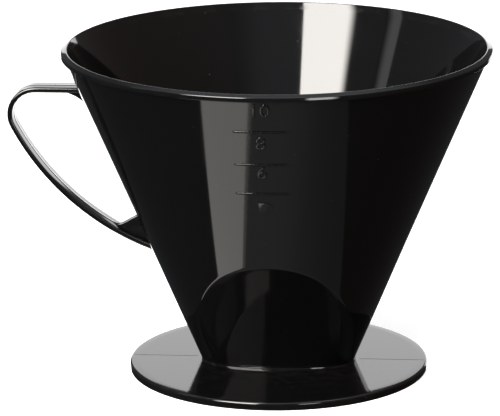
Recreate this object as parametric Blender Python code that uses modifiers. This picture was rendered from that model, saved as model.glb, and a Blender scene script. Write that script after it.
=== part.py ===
"""Cone-type pour-over coffee dripper with a loop handle and a round base flange.

Frame: the origin lies on the cone's axis in the plane that the dripper stands on,
+Z is up, the handle is on the -X side and the level marks face -Y. Units are metres.

The body is a circular cone whose lower half is flattened at the front and the back
into a wedge, which holds the flat bottom seam of a folded paper filter.
"""
import math

import bmesh
import bpy
from mathutils import Matrix, Vector

MM = 0.001
GAP = 0.3 * MM                  # clearance between neighbouring pieces
MARK_GAP = 0.12 * MM            # clearance under the small raised marks
WELD = 0.01 * MM                # merge distance for loose curve caps

# Cone body
CONE_FOOT_RADIUS = 27.2 * MM    # outer radius in the base plane
CONE_SLOPE = 0.4267             # growth of the radius per unit of height
FACET_FOOT_DEPTH = 13.4 * MM    # half depth of the wedge in the base plane
FACET_SLOPE = 0.691             # growth of that half depth per unit of height
FACET_ARC = 82.0 * MM           # plan radius of the bowed front and back facets
CORNER_BLEND_FOOT = 13.0 * MM   # rounding between cone and facet at the foot
CORNER_BLEND_TOP = 0.8 * MM     # rounding where the facet runs out
WALL = 2.0 * MM
WALL_TOP = 120.6 * MM
SEGMENTS = 72                   # columns round the axis

# Rim bead
RIM_RADIUS = 80.0 * MM
RIM_BOTTOM = 120.9 * MM
RIM_TOP = 123.5 * MM

# Base flange, collar, floor and locating ring
BASE_RADIUS = 56.0 * MM
BASE_HEIGHT = 3.1 * MM
BASE_PLATE = 1.6 * MM           # thickness of the plate inside the skirt
SKIRT_WIDTH = 2.4 * MM
COLLAR_HEIGHT = 1.0 * MM
COLLAR_REACH = 1.6 * MM
FLOOR_THICKNESS = 2.2 * MM
DRIP_HOLE_RADIUS = 2.0 * MM
DRIP_HOLE_OFFSET = 10.0 * MM
RING_RADIUS = 35.0 * MM
RING_WIDTH = 2.0 * MM

# Handle: a flat strip that runs out level, bends down and sweeps back to the wall
HANDLE_WIDTH = 10.0 * MM
HANDLE_THICKNESS = 2.2 * MM
HANDLE_EDGE = 0.85 * MM         # rounding of the strip's long edges
HANDLE_TOP = 107.7 * MM
BEND_X = -90.1 * MM
BEND_RADIUS = 10.6 * MM
BEND_ANGLE = math.radians(117.4)
SWEEP_RADIUS = 98.0 * MM
BEND_STEPS = 16
SWEEP_STEPS = 14
WEB_WIDTH = 2.4 * MM
UPPER_WEB_FILLET = 16.6 * MM
LOWER_WEB_LENGTH = 13.6 * MM    # along the strip, from the wall
LOWER_WEB_TOP = 58.6 * MM       # height at which the web's upper edge meets the wall
LOWER_WEB_FILLET = 4.0 * MM

# Flow ribs on the inside of the wall
RIB_AZIMUTHS = (0, 22, 45, 75, 105, 135, 158, 180, 202, 225, 255, 285, 315, 338)
RIB_RADIUS = 0.55 * MM
RIB_BOTTOM = 5.0 * MM
RIB_TOP = 76.0 * MM
RIB_POINTS = 8

# Level marks and numerals on the front of the cone
MARK_HEIGHTS = {"10": 108.7 * MM, "8": 95.4 * MM, "6": 83.4 * MM}
MARK_HALF_WIDTH = 9.9 * MM
MARK_RADIUS = 0.32 * MM
MARK_POINTS = 9
NUMERAL_HEIGHT = 5.6 * MM
NUMERAL_RAISE = 0.35 * MM
NUMERAL_LIFT = 8.6 * MM         # from a mark up to the middle of its numeral
NUMERAL_PITCH = 3.9 * MM        # between the two digits of 10

# Cup symbol under the lowest mark
SYMBOL_HEIGHT_AT = 77.6 * MM
SYMBOL_HALF_HEIGHT = 2.2 * MM
SYMBOL_RIM = 1.9 * MM           # half width at the cup's rim
SYMBOL_FOOT = 1.2 * MM          # half width at the cup's foot
SYMBOL_EAR = 1.15 * MM          # outer radius of the cup's handle
SYMBOL_EAR_HOLE = 0.55 * MM

BLACK = (0.012, 0.012, 0.012, 1.0)


def plastic(name, roughness):
    """Glossy black moulded plastic."""
    material = bpy.data.materials.new(name)
    material.use_nodes = True
    shader = material.node_tree.nodes["Principled BSDF"]
    shader.inputs["Base Color"].default_value = BLACK
    shader.inputs["Roughness"].default_value = roughness
    shader.inputs["Metallic"].default_value = 0.0
    return material


def place(obj, material, collection, smooth_angle=None):
    """Give an object its material and collection, and shade round pieces smooth."""
    obj.data.materials.clear()
    obj.data.materials.append(material)
    for holder in list(obj.users_collection):
        holder.objects.unlink(obj)
    collection.objects.link(obj)
    if smooth_angle is not None:
        obj.data.shade_smooth()
        obj.data.set_sharp_from_angle(angle=smooth_angle)
    return obj


def mesh_object(name, bm):
    """Turn a bmesh into an object with its faces pointing out."""
    bmesh.ops.recalc_face_normals(bm, faces=bm.faces)
    mesh = bpy.data.meshes.new(name)
    bm.to_mesh(mesh)
    bm.free()
    return bpy.data.objects.new(name, mesh)


def as_mesh(obj, collection):
    """Replace a curve or text object by its welded mesh, in the same place."""
    collection.objects.link(obj)
    graph = bpy.context.evaluated_depsgraph_get()
    mesh = bpy.data.meshes.new_from_object(obj.evaluated_get(graph))
    bm = bmesh.new()
    bm.from_mesh(mesh)
    bmesh.ops.remove_doubles(bm, verts=bm.verts, dist=WELD)
    result = mesh_object(obj.name, bm)
    result.matrix_world = obj.matrix_world
    name = obj.name
    bpy.data.objects.remove(obj)
    bpy.data.meshes.remove(mesh)
    result.name = name
    return result


# ---------------------------------------------------------------- body surfaces

def cone_radius(z):
    return CONE_FOOT_RADIUS + CONE_SLOPE * z


def facet_depth(z):
    return FACET_FOOT_DEPTH + FACET_SLOPE * z


def wall_insets(inset):
    """Horizontal insets of cone and facet for an inset measured square to them."""
    return inset * math.hypot(1, CONE_SLOPE), inset * math.hypot(1, FACET_SLOPE)


def cone_and_facet(azimuth, z, inset):
    """Plan distances from the axis to the cone and to the facet's arc."""
    cone_inset, facet_inset = wall_insets(inset)
    centre = FACET_ARC - (facet_depth(z) - facet_inset)
    ahead = centre * abs(math.cos(azimuth))
    aside = centre * math.sin(azimuth)
    facet = math.sqrt(FACET_ARC ** 2 - aside ** 2) - ahead
    return cone_radius(z) - cone_inset, facet


def facet_run_out(inset=0.0):
    """Height at which the facet merges into the cone on the front centre line."""
    cone_inset, facet_inset = wall_insets(inset)
    start = (CONE_FOOT_RADIUS - cone_inset) - (FACET_FOOT_DEPTH - facet_inset)
    return start / (FACET_SLOPE - CONE_SLOPE)


def wall_radius(azimuth, z, inset=0.0):
    """Plan radius of the wall's surface; azimuth is measured from the front, -Y."""
    cone, facet = cone_and_facet(azimuth, z, inset)
    share = max(0.0, 1.0 - z / facet_run_out(inset)) ** 1.5
    blend = CORNER_BLEND_TOP + (CORNER_BLEND_FOOT - CORNER_BLEND_TOP) * share
    overlap = max(blend - abs(cone - facet), 0.0) / blend
    return min(cone, facet) - overlap ** 2 * blend / 4


def wall_point(azimuth, z, inset=0.0):
    radius = wall_radius(azimuth, z, inset)
    return Vector((radius * math.sin(azimuth), -radius * math.cos(azimuth), z))


def wall_ring(z, inset=0.0):
    """One level of the wall's surface as a ring of points."""
    return [wall_point(2 * math.pi * i / SEGMENTS, z, inset) for i in range(SEGMENTS)]


def crest_height(azimuth, inset):
    """Height at which the facet's edge crosses one column of the wall."""
    low, high = 0.0, facet_run_out(inset)
    for _ in range(40):
        middle = (low + high) / 2
        cone, facet = cone_and_facet(azimuth, middle, inset)
        if facet > cone:
            high = middle
        else:
            low = middle
    return low


def wall_levels(inset, bottom, top):
    """Levels of the wall's mesh: each one lets the facet's edge cross on a column."""
    step = 2 * math.pi / SEGMENTS
    columns = [step * i for i in range(2, SEGMENTS // 4)]
    crests = [crest_height(azimuth, inset) for azimuth in columns]
    inner = [z for z in crests if bottom + 1.5 * MM < z]
    return [bottom] + sorted(inner) + [facet_run_out(inset), top]


def loft(rings, close_ends):
    """Join rings of equal length; diagonals follow the facets' slanting edges."""
    bm = bmesh.new()
    loops = [[bm.verts.new(point) for point in ring] for ring in rings]
    count = len(rings[0])
    pairs = list(zip(loops, loops[1:]))
    if not close_ends:
        pairs.append((loops[-1], loops[0]))
    for lower, upper in pairs:
        for i in range(count):
            j = (i + 1) % count
            a, b, c, d = lower[i], lower[j], upper[j], upper[i]
            if (4 * i // count) % 2 == 0:
                triangles = ((a, b, d), (b, c, d))
            else:
                triangles = ((a, b, c), (a, c, d))
            for triangle in triangles:
                bm.faces.new(triangle)
    if close_ends:
        bm.faces.new(loops[0])
        bm.faces.new(loops[-1])
    return bm


# ---------------------------------------------------------------- shared shapes

def arc(centre, radius, start, end, steps):
    """Points of an arc in a plane; angles in degrees."""
    points = []
    for i in range(steps + 1):
        angle = math.radians(start + (end - start) * i / steps)
        points.append((centre[0] + radius * math.cos(angle), centre[1] + radius * math.sin(angle)))
    return points


def turned(name, profile):
    """Turn a closed (radius, height) profile round the axis; it starts at the top of its
    outer side and runs down it."""
    bm = bmesh.new()
    verts = [bm.verts.new((radius, 0.0, height)) for radius, height in profile]
    for i, vert in enumerate(verts):
        bm.edges.new((vert, verts[(i + 1) % len(verts)]))
    mesh = bpy.data.meshes.new(name)
    bm.to_mesh(mesh)
    bm.free()
    obj = bpy.data.objects.new(name, mesh)
    screw = obj.modifiers.new("Turn", "SCREW")
    screw.axis = "Z"
    screw.steps = SEGMENTS
    screw.render_steps = SEGMENTS
    screw.use_merge_vertices = True
    screw.merge_threshold = WELD
    screw.use_smooth_shade = True
    return obj


def flat_plate(name, outlines, thickness):
    """Flat plate from an outline and any holes in it, in its own X-Y plane."""
    curve = bpy.data.curves.new(name, "CURVE")
    curve.dimensions = "2D"
    curve.fill_mode = "BOTH"
    curve.extrude = thickness / 2
    for outline in outlines:
        spline = curve.splines.new("POLY")
        spline.points.add(len(outline) - 1)
        for point, (x, y) in zip(spline.points, outline):
            point.co = (x, y, 0.0, 1.0)
        spline.use_cyclic_u = True
    return bpy.data.objects.new(name, curve)


def side_plate(name, outline, width):
    """Plate with its outline in the X-Z plane and its width along Y."""
    obj = flat_plate(name, [outline], width)
    obj.rotation_euler = (math.pi / 2, 0.0, 0.0)
    return obj


def rod(name, points, radius, sides):
    """A round bar along points, with closed ends."""
    curve = bpy.data.curves.new(name, "CURVE")
    curve.dimensions = "3D"
    curve.bevel_depth = radius
    curve.bevel_resolution = sides
    curve.use_fill_caps = True
    spline = curve.splines.new("POLY")
    spline.points.add(len(points) - 1)
    for point, place_at in zip(spline.points, points):
        point.co = (*place_at, 1.0)
    return bpy.data.objects.new(name, curve)


def cut(obj, cutter, cutters):
    """Subtract a cutter, which stays in the file as a wire guide."""
    cutters.objects.link(cutter)
    cutter.hide_render = True
    cutter.display_type = "WIRE"
    boolean = obj.modifiers.new("Cut " + cutter.name, "BOOLEAN")
    boolean.operation = "DIFFERENCE"
    boolean.object = cutter


def weld_and_round(obj, width, segments):
    weld = obj.modifiers.new("Weld", "WELD")
    weld.merge_threshold = WELD
    bevel = obj.modifiers.new("Round", "BEVEL")
    bevel.width = width
    bevel.segments = segments
    bevel.limit_method = "ANGLE"
    bevel.angle_limit = math.radians(50)


def unit(vector):
    length = math.hypot(*vector)
    return vector[0] / length, vector[1] / length


def fillet(before, corner, after, radius, steps):
    """Points of the arc that rounds a corner between two straight edges."""
    back = unit((before[0] - corner[0], before[1] - corner[1]))
    ahead = unit((after[0] - corner[0], after[1] - corner[1]))
    half = math.acos(back[0] * ahead[0] + back[1] * ahead[1]) / 2
    middle = unit((back[0] + ahead[0], back[1] + ahead[1]))
    reach = radius / math.sin(half)
    centre = (corner[0] + middle[0] * reach, corner[1] + middle[1] * reach)
    tangent = radius / math.tan(half)
    first = (corner[0] + back[0] * tangent, corner[1] + back[1] * tangent)
    last = (corner[0] + ahead[0] * tangent, corner[1] + ahead[1] * tangent)
    start = math.atan2(first[1] - centre[1], first[0] - centre[0])
    turn = math.atan2(last[1] - centre[1], last[0] - centre[0]) - start
    turn = (turn + math.pi) % (2 * math.pi) - math.pi
    return arc(centre, radius, math.degrees(start), math.degrees(start + turn), steps)


# ---------------------------------------------------------------- pieces

def build_filter_cone():
    """The thin wall: a cone above, a wedge with bowed front and back below."""
    outer = [wall_ring(z) for z in wall_levels(0.0, 0.0, WALL_TOP)]
    inner = [wall_ring(z, WALL) for z in wall_levels(WALL, 0.0, WALL_TOP)]
    return mesh_object("filter_cone", loft(outer + inner[::-1], close_ends=False))


def build_rim_bead():
    """Half-round lip that stiffens the mouth."""
    inside = cone_radius(RIM_TOP) - wall_insets(WALL)[0]
    half = (RIM_TOP - RIM_BOTTOM) / 2
    middle = RIM_BOTTOM + half
    nose = arc((RIM_RADIUS - half, middle), half, 90, -90, 8)
    heel = (inside - CONE_SLOPE * half * 2, RIM_BOTTOM)
    crown = arc((inside + half / 2, RIM_TOP - half / 2), half / 2, 180, 90, 3)
    return turned("rim_bead", nose + [heel] + crown)


def build_base_disc(cutters):
    """Round flange with a shallow skirt, open where the cone's foot passes through."""
    top = BASE_HEIGHT
    inside = FACET_FOOT_DEPTH - 3 * MM
    under = top - BASE_PLATE
    edge = 0.9 * MM
    shoulder = arc((BASE_RADIUS - edge, top - edge), edge, 90, 0, 3)
    heel = arc((BASE_RADIUS - edge / 2, edge / 2), edge / 2, 0, -90, 2)
    skirt_inside = BASE_RADIUS - SKIRT_WIDTH
    recess = [(skirt_inside, 0.0), (skirt_inside, under), (inside, under), (inside, top)]
    disc = turned("base_disc", shoulder + heel + recess)
    levels = (-MM, BASE_HEIGHT + MM)
    opening = mesh_object("foot_opening", loft([wall_ring(z, -GAP) for z in levels], close_ends=True))
    cut(disc, opening, cutters)
    return disc


def build_foot_collar():
    """Small fillet band round the foot, on top of the flange."""
    low = BASE_HEIGHT + GAP
    high = low + COLLAR_HEIGHT
    ledge = (low + high) / 2
    rings = [
        wall_ring(low, -GAP),
        [scaled(point, low, COLLAR_REACH) for point in wall_ring(low, -GAP)],
        [scaled(point, ledge, COLLAR_REACH) for point in wall_ring(low, -GAP)],
        [scaled(point, high, COLLAR_REACH * 0.28) for point in wall_ring(high, -GAP)],
        wall_ring(high, -GAP),
    ]
    return mesh_object("foot_collar", loft(rings[::-1], close_ends=False))


def scaled(point, z, reach):
    """Move a point out from the axis by a reach, at a given height."""
    radius = math.hypot(point.x, point.y)
    factor = (radius + reach) / radius
    return Vector((point.x * factor, point.y * factor, z))


def build_drip_floor(cutters):
    """Floor of the wedge, with two drip holes and a solid land between them."""
    rings = [wall_ring(z, WALL + GAP) for z in (0.0, FLOOR_THICKNESS)]
    floor = mesh_object("drip_floor", loft(rings, close_ends=True))
    for side, label in ((-1, "left"), (1, "right")):
        bm = bmesh.new()
        bmesh.ops.create_cone(
            bm, cap_ends=True, segments=24, radius1=DRIP_HOLE_RADIUS, radius2=DRIP_HOLE_RADIUS,
            depth=3 * FLOOR_THICKNESS, matrix=Matrix.Translation((side * DRIP_HOLE_OFFSET, 0.0, 0.0)))
        cut(floor, mesh_object("drip_hole_" + label, bm), cutters)
    return floor


def build_mug_ring():
    """Low ring under the flange that centres it in the mouth of a mug."""
    top = BASE_HEIGHT - BASE_PLATE - GAP
    inside = RING_RADIUS - RING_WIDTH
    return turned("mug_ring", [(RING_RADIUS, top), (RING_RADIUS, 0.0), (inside, 0.0), (inside, top)])


def wall_side(z):
    """X of the handle's end face at a height: just clear of the wall."""
    return -(cone_radius(z) + GAP)


def sweep_point(inset, angle):
    """Point of the handle's long sweep; the inset is measured into the loop."""
    bend_end = 90 + math.degrees(BEND_ANGLE)
    centre = arc((BEND_X, HANDLE_TOP - BEND_RADIUS), BEND_RADIUS - SWEEP_RADIUS, bend_end, bend_end, 1)[0]
    heading = math.radians(bend_end) + angle
    radius = SWEEP_RADIUS - inset
    return centre[0] + radius * math.cos(heading), centre[1] + radius * math.sin(heading)


def sweep_end(inset):
    """Angle at which the sweep reaches the wall."""
    low, high = 0.0, math.radians(60)
    for _ in range(40):
        middle = (low + high) / 2
        x, z = sweep_point(inset, middle)
        if x < wall_side(z):
            low = middle
        else:
            high = middle
    return low


def handle_line(inset):
    """One face of the handle strip, from the wall round to the wall."""
    top = HANDLE_TOP - inset
    bend = arc((BEND_X, HANDLE_TOP - BEND_RADIUS), BEND_RADIUS - inset, 90,
               90 + math.degrees(BEND_ANGLE), BEND_STEPS)
    end = sweep_end(inset)
    sweep = [sweep_point(inset, end * i / SWEEP_STEPS) for i in range(1, SWEEP_STEPS + 1)]
    return [(wall_side(top), top)] + bend + sweep


def build_handle_strip():
    """Flat strip with rounded edges."""
    outline = handle_line(0.0) + handle_line(HANDLE_THICKNESS)[::-1]
    strip = side_plate("handle_strip", outline, HANDLE_WIDTH)
    weld_and_round(strip, HANDLE_EDGE, 2)
    return strip


def build_upper_web():
    """Fillet web under the strip's upper end."""
    top = HANDLE_TOP - HANDLE_THICKNESS - GAP
    corner = (wall_side(top), top)
    left = (corner[0] - HANDLE_THICKNESS, top)
    low = top - HANDLE_THICKNESS
    down = (wall_side(low), low)
    return side_plate("upper_web", fillet(left, corner, down, UPPER_WEB_FILLET, 8) + [corner], WEB_WIDTH)


def build_lower_web():
    """Web that carries the strip's lower end into the wall."""
    inset = HANDLE_THICKNESS + GAP
    end = sweep_end(inset)
    start = end - LOWER_WEB_LENGTH / (SWEEP_RADIUS - inset)
    valley = sweep_point(inset, start)
    before = sweep_point(inset, start - 0.05)
    peak = (wall_side(LOWER_WEB_TOP), LOWER_WEB_TOP)
    edge = fillet(before, valley, peak, LOWER_WEB_FILLET, 6)
    tip_angle = start - (LOWER_WEB_FILLET * 0.72) / (SWEEP_RADIUS - inset)
    steps = 6
    under = [sweep_point(inset, end + (tip_angle - end) * i / steps) for i in range(steps)]
    return side_plate("lower_web", edge[1:] + [peak] + under, WEB_WIDTH)


def build_flow_ribs():
    """Slim ribs that hold the paper off the wall."""
    ribs = []
    clear = WALL + GAP + RIB_RADIUS
    for number, degrees in enumerate(RIB_AZIMUTHS, start=1):
        azimuth = math.radians(degrees)
        span = RIB_TOP - RIB_BOTTOM
        heights = [RIB_BOTTOM + span * i / (RIB_POINTS - 1) for i in range(RIB_POINTS)]
        points = [wall_point(azimuth, z, clear) for z in heights]
        ribs.append(rod(f"flow_rib_{number:02d}", points, RIB_RADIUS, 1))
    return ribs


def build_level_marks():
    """Raised lines across the front of the cone."""
    marks = []
    for label, z in MARK_HEIGHTS.items():
        half = MARK_HALF_WIDTH / cone_radius(z)
        azimuths = [half * (2 * i / (MARK_POINTS - 1) - 1) for i in range(MARK_POINTS)]
        points = [wall_point(azimuth, z, -(MARK_GAP + MARK_RADIUS)) for azimuth in azimuths]
        marks.append(rod("level_mark_" + label, points, MARK_RADIUS, 1))
    return marks


def seat_on_front(obj, z, offset):
    """Lay a flat raised mark against the cone, offset sideways from the front."""
    azimuth = offset / cone_radius(z)
    lean = math.atan(CONE_SLOPE)
    seat = wall_point(azimuth, z, -(MARK_GAP + NUMERAL_RAISE / 2))
    upright = Matrix.Rotation(math.pi / 2 + lean, 4, "X")
    obj.matrix_world = Matrix.Translation(seat) @ Matrix.Rotation(azimuth, 4, "Z") @ upright
    return obj


def build_numeral(name, digit, z, offset, collection):
    """One raised digit."""
    text = bpy.data.curves.new(name, "FONT")
    text.body = digit
    text.size = NUMERAL_HEIGHT / 0.72
    text.extrude = NUMERAL_RAISE / 2
    text.resolution_u = 3
    text.align_x = "CENTER"
    text.align_y = "CENTER"
    return as_mesh(seat_on_front(bpy.data.objects.new(name, text), z, offset), collection)


def build_numerals(collection):
    """The numerals 10, 8 and 6, each above its level mark."""
    numerals = []
    for label, height in MARK_HEIGHTS.items():
        z = height + NUMERAL_LIFT
        for index, digit in enumerate(label):
            offset = (index - (len(label) - 1) / 2) * NUMERAL_PITCH
            name = f"numeral_{label}" if len(label) == 1 else f"numeral_{label}_digit_{index + 1}"
            numerals.append(build_numeral(name, digit, z, offset, collection))
    return numerals


def build_cup_symbol(collection):
    """Raised outline of a cup: the unit of the numerals."""
    half = SYMBOL_HALF_HEIGHT
    ear_centre = (SYMBOL_RIM, half * 0.2)
    ear = arc(ear_centre, SYMBOL_EAR, -115, 95, 8)
    cup = [(SYMBOL_RIM, half), (-SYMBOL_RIM, half), (-SYMBOL_FOOT, -half), (SYMBOL_FOOT, -half)]
    hole = arc(ear_centre, SYMBOL_EAR_HOLE, 0, 324, 9)
    symbol = flat_plate("cup_symbol", [ear + cup, hole], NUMERAL_RAISE)
    return as_mesh(seat_on_front(symbol, SYMBOL_HEIGHT_AT, 0.0), collection)


def main():
    for obj in list(bpy.data.objects):
        bpy.data.objects.remove(obj)
    dripper = bpy.data.collections.new("pour_over_dripper")
    cutters = bpy.data.collections.new("cutters")
    bpy.context.scene.collection.children.link(dripper)
    bpy.context.scene.collection.children.link(cutters)

    body = plastic("body_plastic", 0.06)
    base = plastic("base_plastic", 0.06)
    grip = plastic("handle_plastic", 0.08)
    marks = plastic("mark_plastic", 0.10)
    crease = math.radians(30)

    place(build_filter_cone(), body, dripper, crease)
    place(build_rim_bead(), body, dripper, crease)
    place(build_drip_floor(cutters), body, dripper)
    place(build_base_disc(cutters), base, dripper, crease)
    place(build_foot_collar(), base, dripper, crease)
    place(build_mug_ring(), base, dripper)
    for piece in (build_handle_strip(), build_upper_web(), build_lower_web()):
        place(piece, grip, dripper)
    for rib in build_flow_ribs():
        place(rib, body, dripper)
    for mark in build_level_marks():
        place(mark, marks, dripper)
    for numeral in build_numerals(cutters):
        place(numeral, marks, dripper)
    place(build_cup_symbol(cutters), marks, dripper)


main()
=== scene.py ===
"""Looks of a black moulded pour-over dripper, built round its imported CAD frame.

The frame's origin lies on the cone's axis in the plane that the dripper stands on, +Z is up,
the handle is on the -X side and the level marks face -Y. Lengths are in metres. Azimuths are
measured round the axis from the front, -Y, towards +X.
"""
import math

import bmesh
import bpy
from mathutils import Matrix, Vector, geometry


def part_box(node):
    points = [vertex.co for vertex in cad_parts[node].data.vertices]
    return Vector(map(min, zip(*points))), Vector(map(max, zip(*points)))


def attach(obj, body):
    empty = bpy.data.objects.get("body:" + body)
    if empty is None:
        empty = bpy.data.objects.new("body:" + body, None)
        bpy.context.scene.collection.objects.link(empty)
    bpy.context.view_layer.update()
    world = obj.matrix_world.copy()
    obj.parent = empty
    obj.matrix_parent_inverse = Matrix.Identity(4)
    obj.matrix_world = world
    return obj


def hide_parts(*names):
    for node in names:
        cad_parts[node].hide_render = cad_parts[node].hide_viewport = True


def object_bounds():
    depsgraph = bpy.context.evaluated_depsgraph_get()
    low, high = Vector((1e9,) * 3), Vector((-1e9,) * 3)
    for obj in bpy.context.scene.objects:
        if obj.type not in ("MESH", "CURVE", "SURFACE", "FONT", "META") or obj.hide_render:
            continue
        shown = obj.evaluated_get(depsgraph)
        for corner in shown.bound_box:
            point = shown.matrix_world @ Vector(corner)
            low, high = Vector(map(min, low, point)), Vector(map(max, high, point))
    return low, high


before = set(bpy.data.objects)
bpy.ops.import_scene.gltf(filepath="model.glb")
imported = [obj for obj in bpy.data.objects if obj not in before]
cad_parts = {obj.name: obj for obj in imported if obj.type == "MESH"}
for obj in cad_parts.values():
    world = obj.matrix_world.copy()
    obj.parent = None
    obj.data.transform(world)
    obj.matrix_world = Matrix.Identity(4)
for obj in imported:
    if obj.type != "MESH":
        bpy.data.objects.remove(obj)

CAD_LOW, CAD_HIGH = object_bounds()
MM = 0.001
TURN = 2 * math.pi

# Sizes that the frame gives
WALL_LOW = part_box("filter_cone")[0]
RIM_LOW, RIM_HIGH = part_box("rim_bead")
BASE_LOW, BASE_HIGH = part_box("base_disc")
RING_LOW, RING_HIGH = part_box("mug_ring")
FLOOR_LOW, FLOOR_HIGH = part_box("drip_floor")
COLLAR_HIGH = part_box("foot_collar")[1]
STRIP_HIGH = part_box("handle_strip")[1]
RIB_LOW, RIB_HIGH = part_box("flow_rib_01")

# The wall's surfaces: a cone, flattened below into a wedge
CONE_FOOT_RADIUS = 27.2 * MM
CONE_SLOPE = 0.4267
FACET_FOOT_DEPTH = 13.4 * MM
FACET_SLOPE = 0.691
FACET_ARC = 82.0 * MM
CORNER_BLEND_FOOT = 13.0 * MM   # rounding between cone and facet at the foot
CORNER_BLEND_TOP = 0.12 * MM    # and where the facet runs out
CORNER_BLEND_POWER = 3.2        # how fast the rounding shrinks on the way up
WALL = 2.0 * MM
WALL_COLUMNS = 360
ROWS_BELOW_CREST = 44
ROWS_ABOVE_CREST = 52
ROW_BUNCHING = 1.5              # above 1 the rows crowd towards the crest
LOWEST_CREST = 6.0 * MM

# Rim lip
RIM_INNER_EDGE = 0.3 * MM
RIM_FLAT = 0.3 * MM             # width of the level top
RIM_TOP_EDGE = 0.3 * MM         # rounding from the level top to the brow
RIM_FALL = 0.75 * MM            # from the top down to the brow's outer edge
RIM_LEAN = 0.12 * MM            # of the lip's outer face
RIM_BROW_EDGE = 0.5 * MM
RIM_LOWER_EDGE = 0.4 * MM

# Base flange
BASE_EDGE = 0.9 * MM
BASE_HEEL = 0.45 * MM
BASE_PLATE = 1.6 * MM
BASE_SEAM_RAISE = 0.06 * MM
SKIRT_WIDTH = 2.4 * MM
SKIRT_EDGE = 0.3 * MM
SKIRT_ROOT = 0.4 * MM
COLLAR_REACH = 0.5 * MM
COLLAR_STEP_SHARE = 0.62        # of the collar's height below its step
COLLAR_UPPER_REACH = 0.12 * MM
RING_WIDTH = 2.0 * MM
RING_EDGE = 0.5 * MM
RING_BITE = 0.2 * MM            # how far the ring runs into the plate
PAD_RADIUS = 2.4 * MM           # witness pads of the ejector pins
PAD_CIRCLE = 44.5 * MM
PAD_RAISE = 0.12 * MM
DRIP_HOLE_RADIUS = 2.0 * MM
DRIP_HOLE_OFFSET = 10.0 * MM
DRIP_HOLE_EDGE = 0.3 * MM
GATE_RADIUS = 1.3 * MM          # stub left by the injection gate
GATE_RAISE = 0.25 * MM

# Parting line of the two mould halves, in the handle's plane
SEAM_HALF_WIDTH = 0.2 * MM
SEAM_RAISE = 0.035 * MM

# Handle
HANDLE_HALF_WIDTH = STRIP_HIGH.y
HANDLE_TOP = STRIP_HIGH.z
HANDLE_THICKNESS = 2.2 * MM
BEND_X = -90.1 * MM
BEND_RADIUS = 10.6 * MM
BEND_ANGLE = math.radians(117.4)
SWEEP_RADIUS = 98.0 * MM
HANDLE_CROWN = math.tan(math.radians(1.3))
HANDLE_RIDGE = 0.06 * MM
HANDLE_RIDGE_HALF = 0.24 * MM
HANDLE_INSET = 0.02 * MM        # keeps the finer outline inside the coarser CAD strip
HANDLE_EDGE = 0.6 * MM
HANDLE_FULLNESS = 0.8           # below 1 the sides are squarer than a half round
BITE = 1.0 * MM                 # how far handle parts run into the wall
WEB_WIDTH = 2.4 * MM
UPPER_WEB_FILLET = 16.6 * MM
LOWER_WEB_LENGTH = 13.6 * MM
LOWER_WEB_TOP = 58.6 * MM
LOWER_WEB_FILLET = 4.0 * MM
WEB_BITE = 0.5 * MM             # how far a web runs into the strip
WEB_EDGE = 0.4 * MM

# Flow ribs
RIB_AZIMUTHS = (0, 22, 45, 75, 105, 135, 158, 180, 202, 225, 255, 285, 315, 338)
RIB_RADIUS = 0.6 * MM
RIB_HEIGHT = 1.35               # of the crest above the wall, as a share of the radius

# Raised marks on the front
MARKS = {"10": 108.7 * MM, "8": 95.4 * MM, "6": 83.4 * MM}
MARK_HALF_WIDTH = 9.9 * MM
MARK_RADIUS = 0.42 * MM
MARK_HEIGHT = 0.85              # of the crest above the wall, as a share of the radius
MARK_LEAN = 0.7                 # of the crest towards the mouth, as a share of the radius
CAP_SHARE = 0.72                # height of a digit as a share of the font's size
NUMERAL_HEIGHT = 5.6 * MM
NUMERAL_RAISE = 0.38 * MM
NUMERAL_EDGE = 0.1 * MM
NUMERAL_THINNING = 0.06 * MM
NUMERAL_LIFT = 8.6 * MM
NUMERAL_PITCH = 3.9 * MM
SYMBOL_AT = 77.6 * MM
SYMBOL_HALF_HEIGHT = 2.2 * MM
SYMBOL_RIM = 1.9 * MM
SYMBOL_FOOT = 1.2 * MM
SYMBOL_EAR = 1.15 * MM
SYMBOL_EAR_HOLE = 0.55 * MM
SYMBOL_EDGE = 0.08 * MM

# Camera
CAMERA_DISTANCE = 1.4547
CAMERA_AZIMUTH = 4.7            # degrees
CAMERA_ELEVATION = 17.43        # degrees
CAMERA_AIM = Vector((-10.35, -0.85, 61.5)) * MM
CAMERA_ROLL = math.radians(-0.46)
CAMERA_LENS = 276.9


# ---------------------------------------------------------------- mesh building

class Skin:
    """Points and faces of one piece, collected patch by patch."""

    def __init__(self):
        self.points = []
        self.faces = []

    def add(self, points, faces):
        start = len(self.points)
        self.points.extend(points)
        self.faces.extend([start + i for i in face] for face in faces)

    def sheet(self, rows, ring=True, tube=False):
        """Quads between rows of equal length; ring closes each row, tube joins last to first."""
        count = len(rows[0])
        points = [point for row in rows for point in row]
        faces = []
        for r in range(len(rows) if tube else len(rows) - 1):
            below, above = r * count, (r + 1) % len(rows) * count
            for i in range(count if ring else count - 1):
                j = (i + 1) % count
                faces.append((below + i, below + j, above + j, above + i))
        self.add(points, faces)

    def cap(self, loop):
        """Close a loop of points with a fan round its middle."""
        middle = sum(loop, Vector()) / len(loop)
        count = len(loop)
        self.add(list(loop) + [middle], [(i, (i + 1) % count, count) for i in range(count)])

    def rod(self, rows):
        """A closed bar from rings, with both ends capped."""
        self.sheet(rows)
        self.cap(rows[0])
        self.cap(rows[-1])


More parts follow.
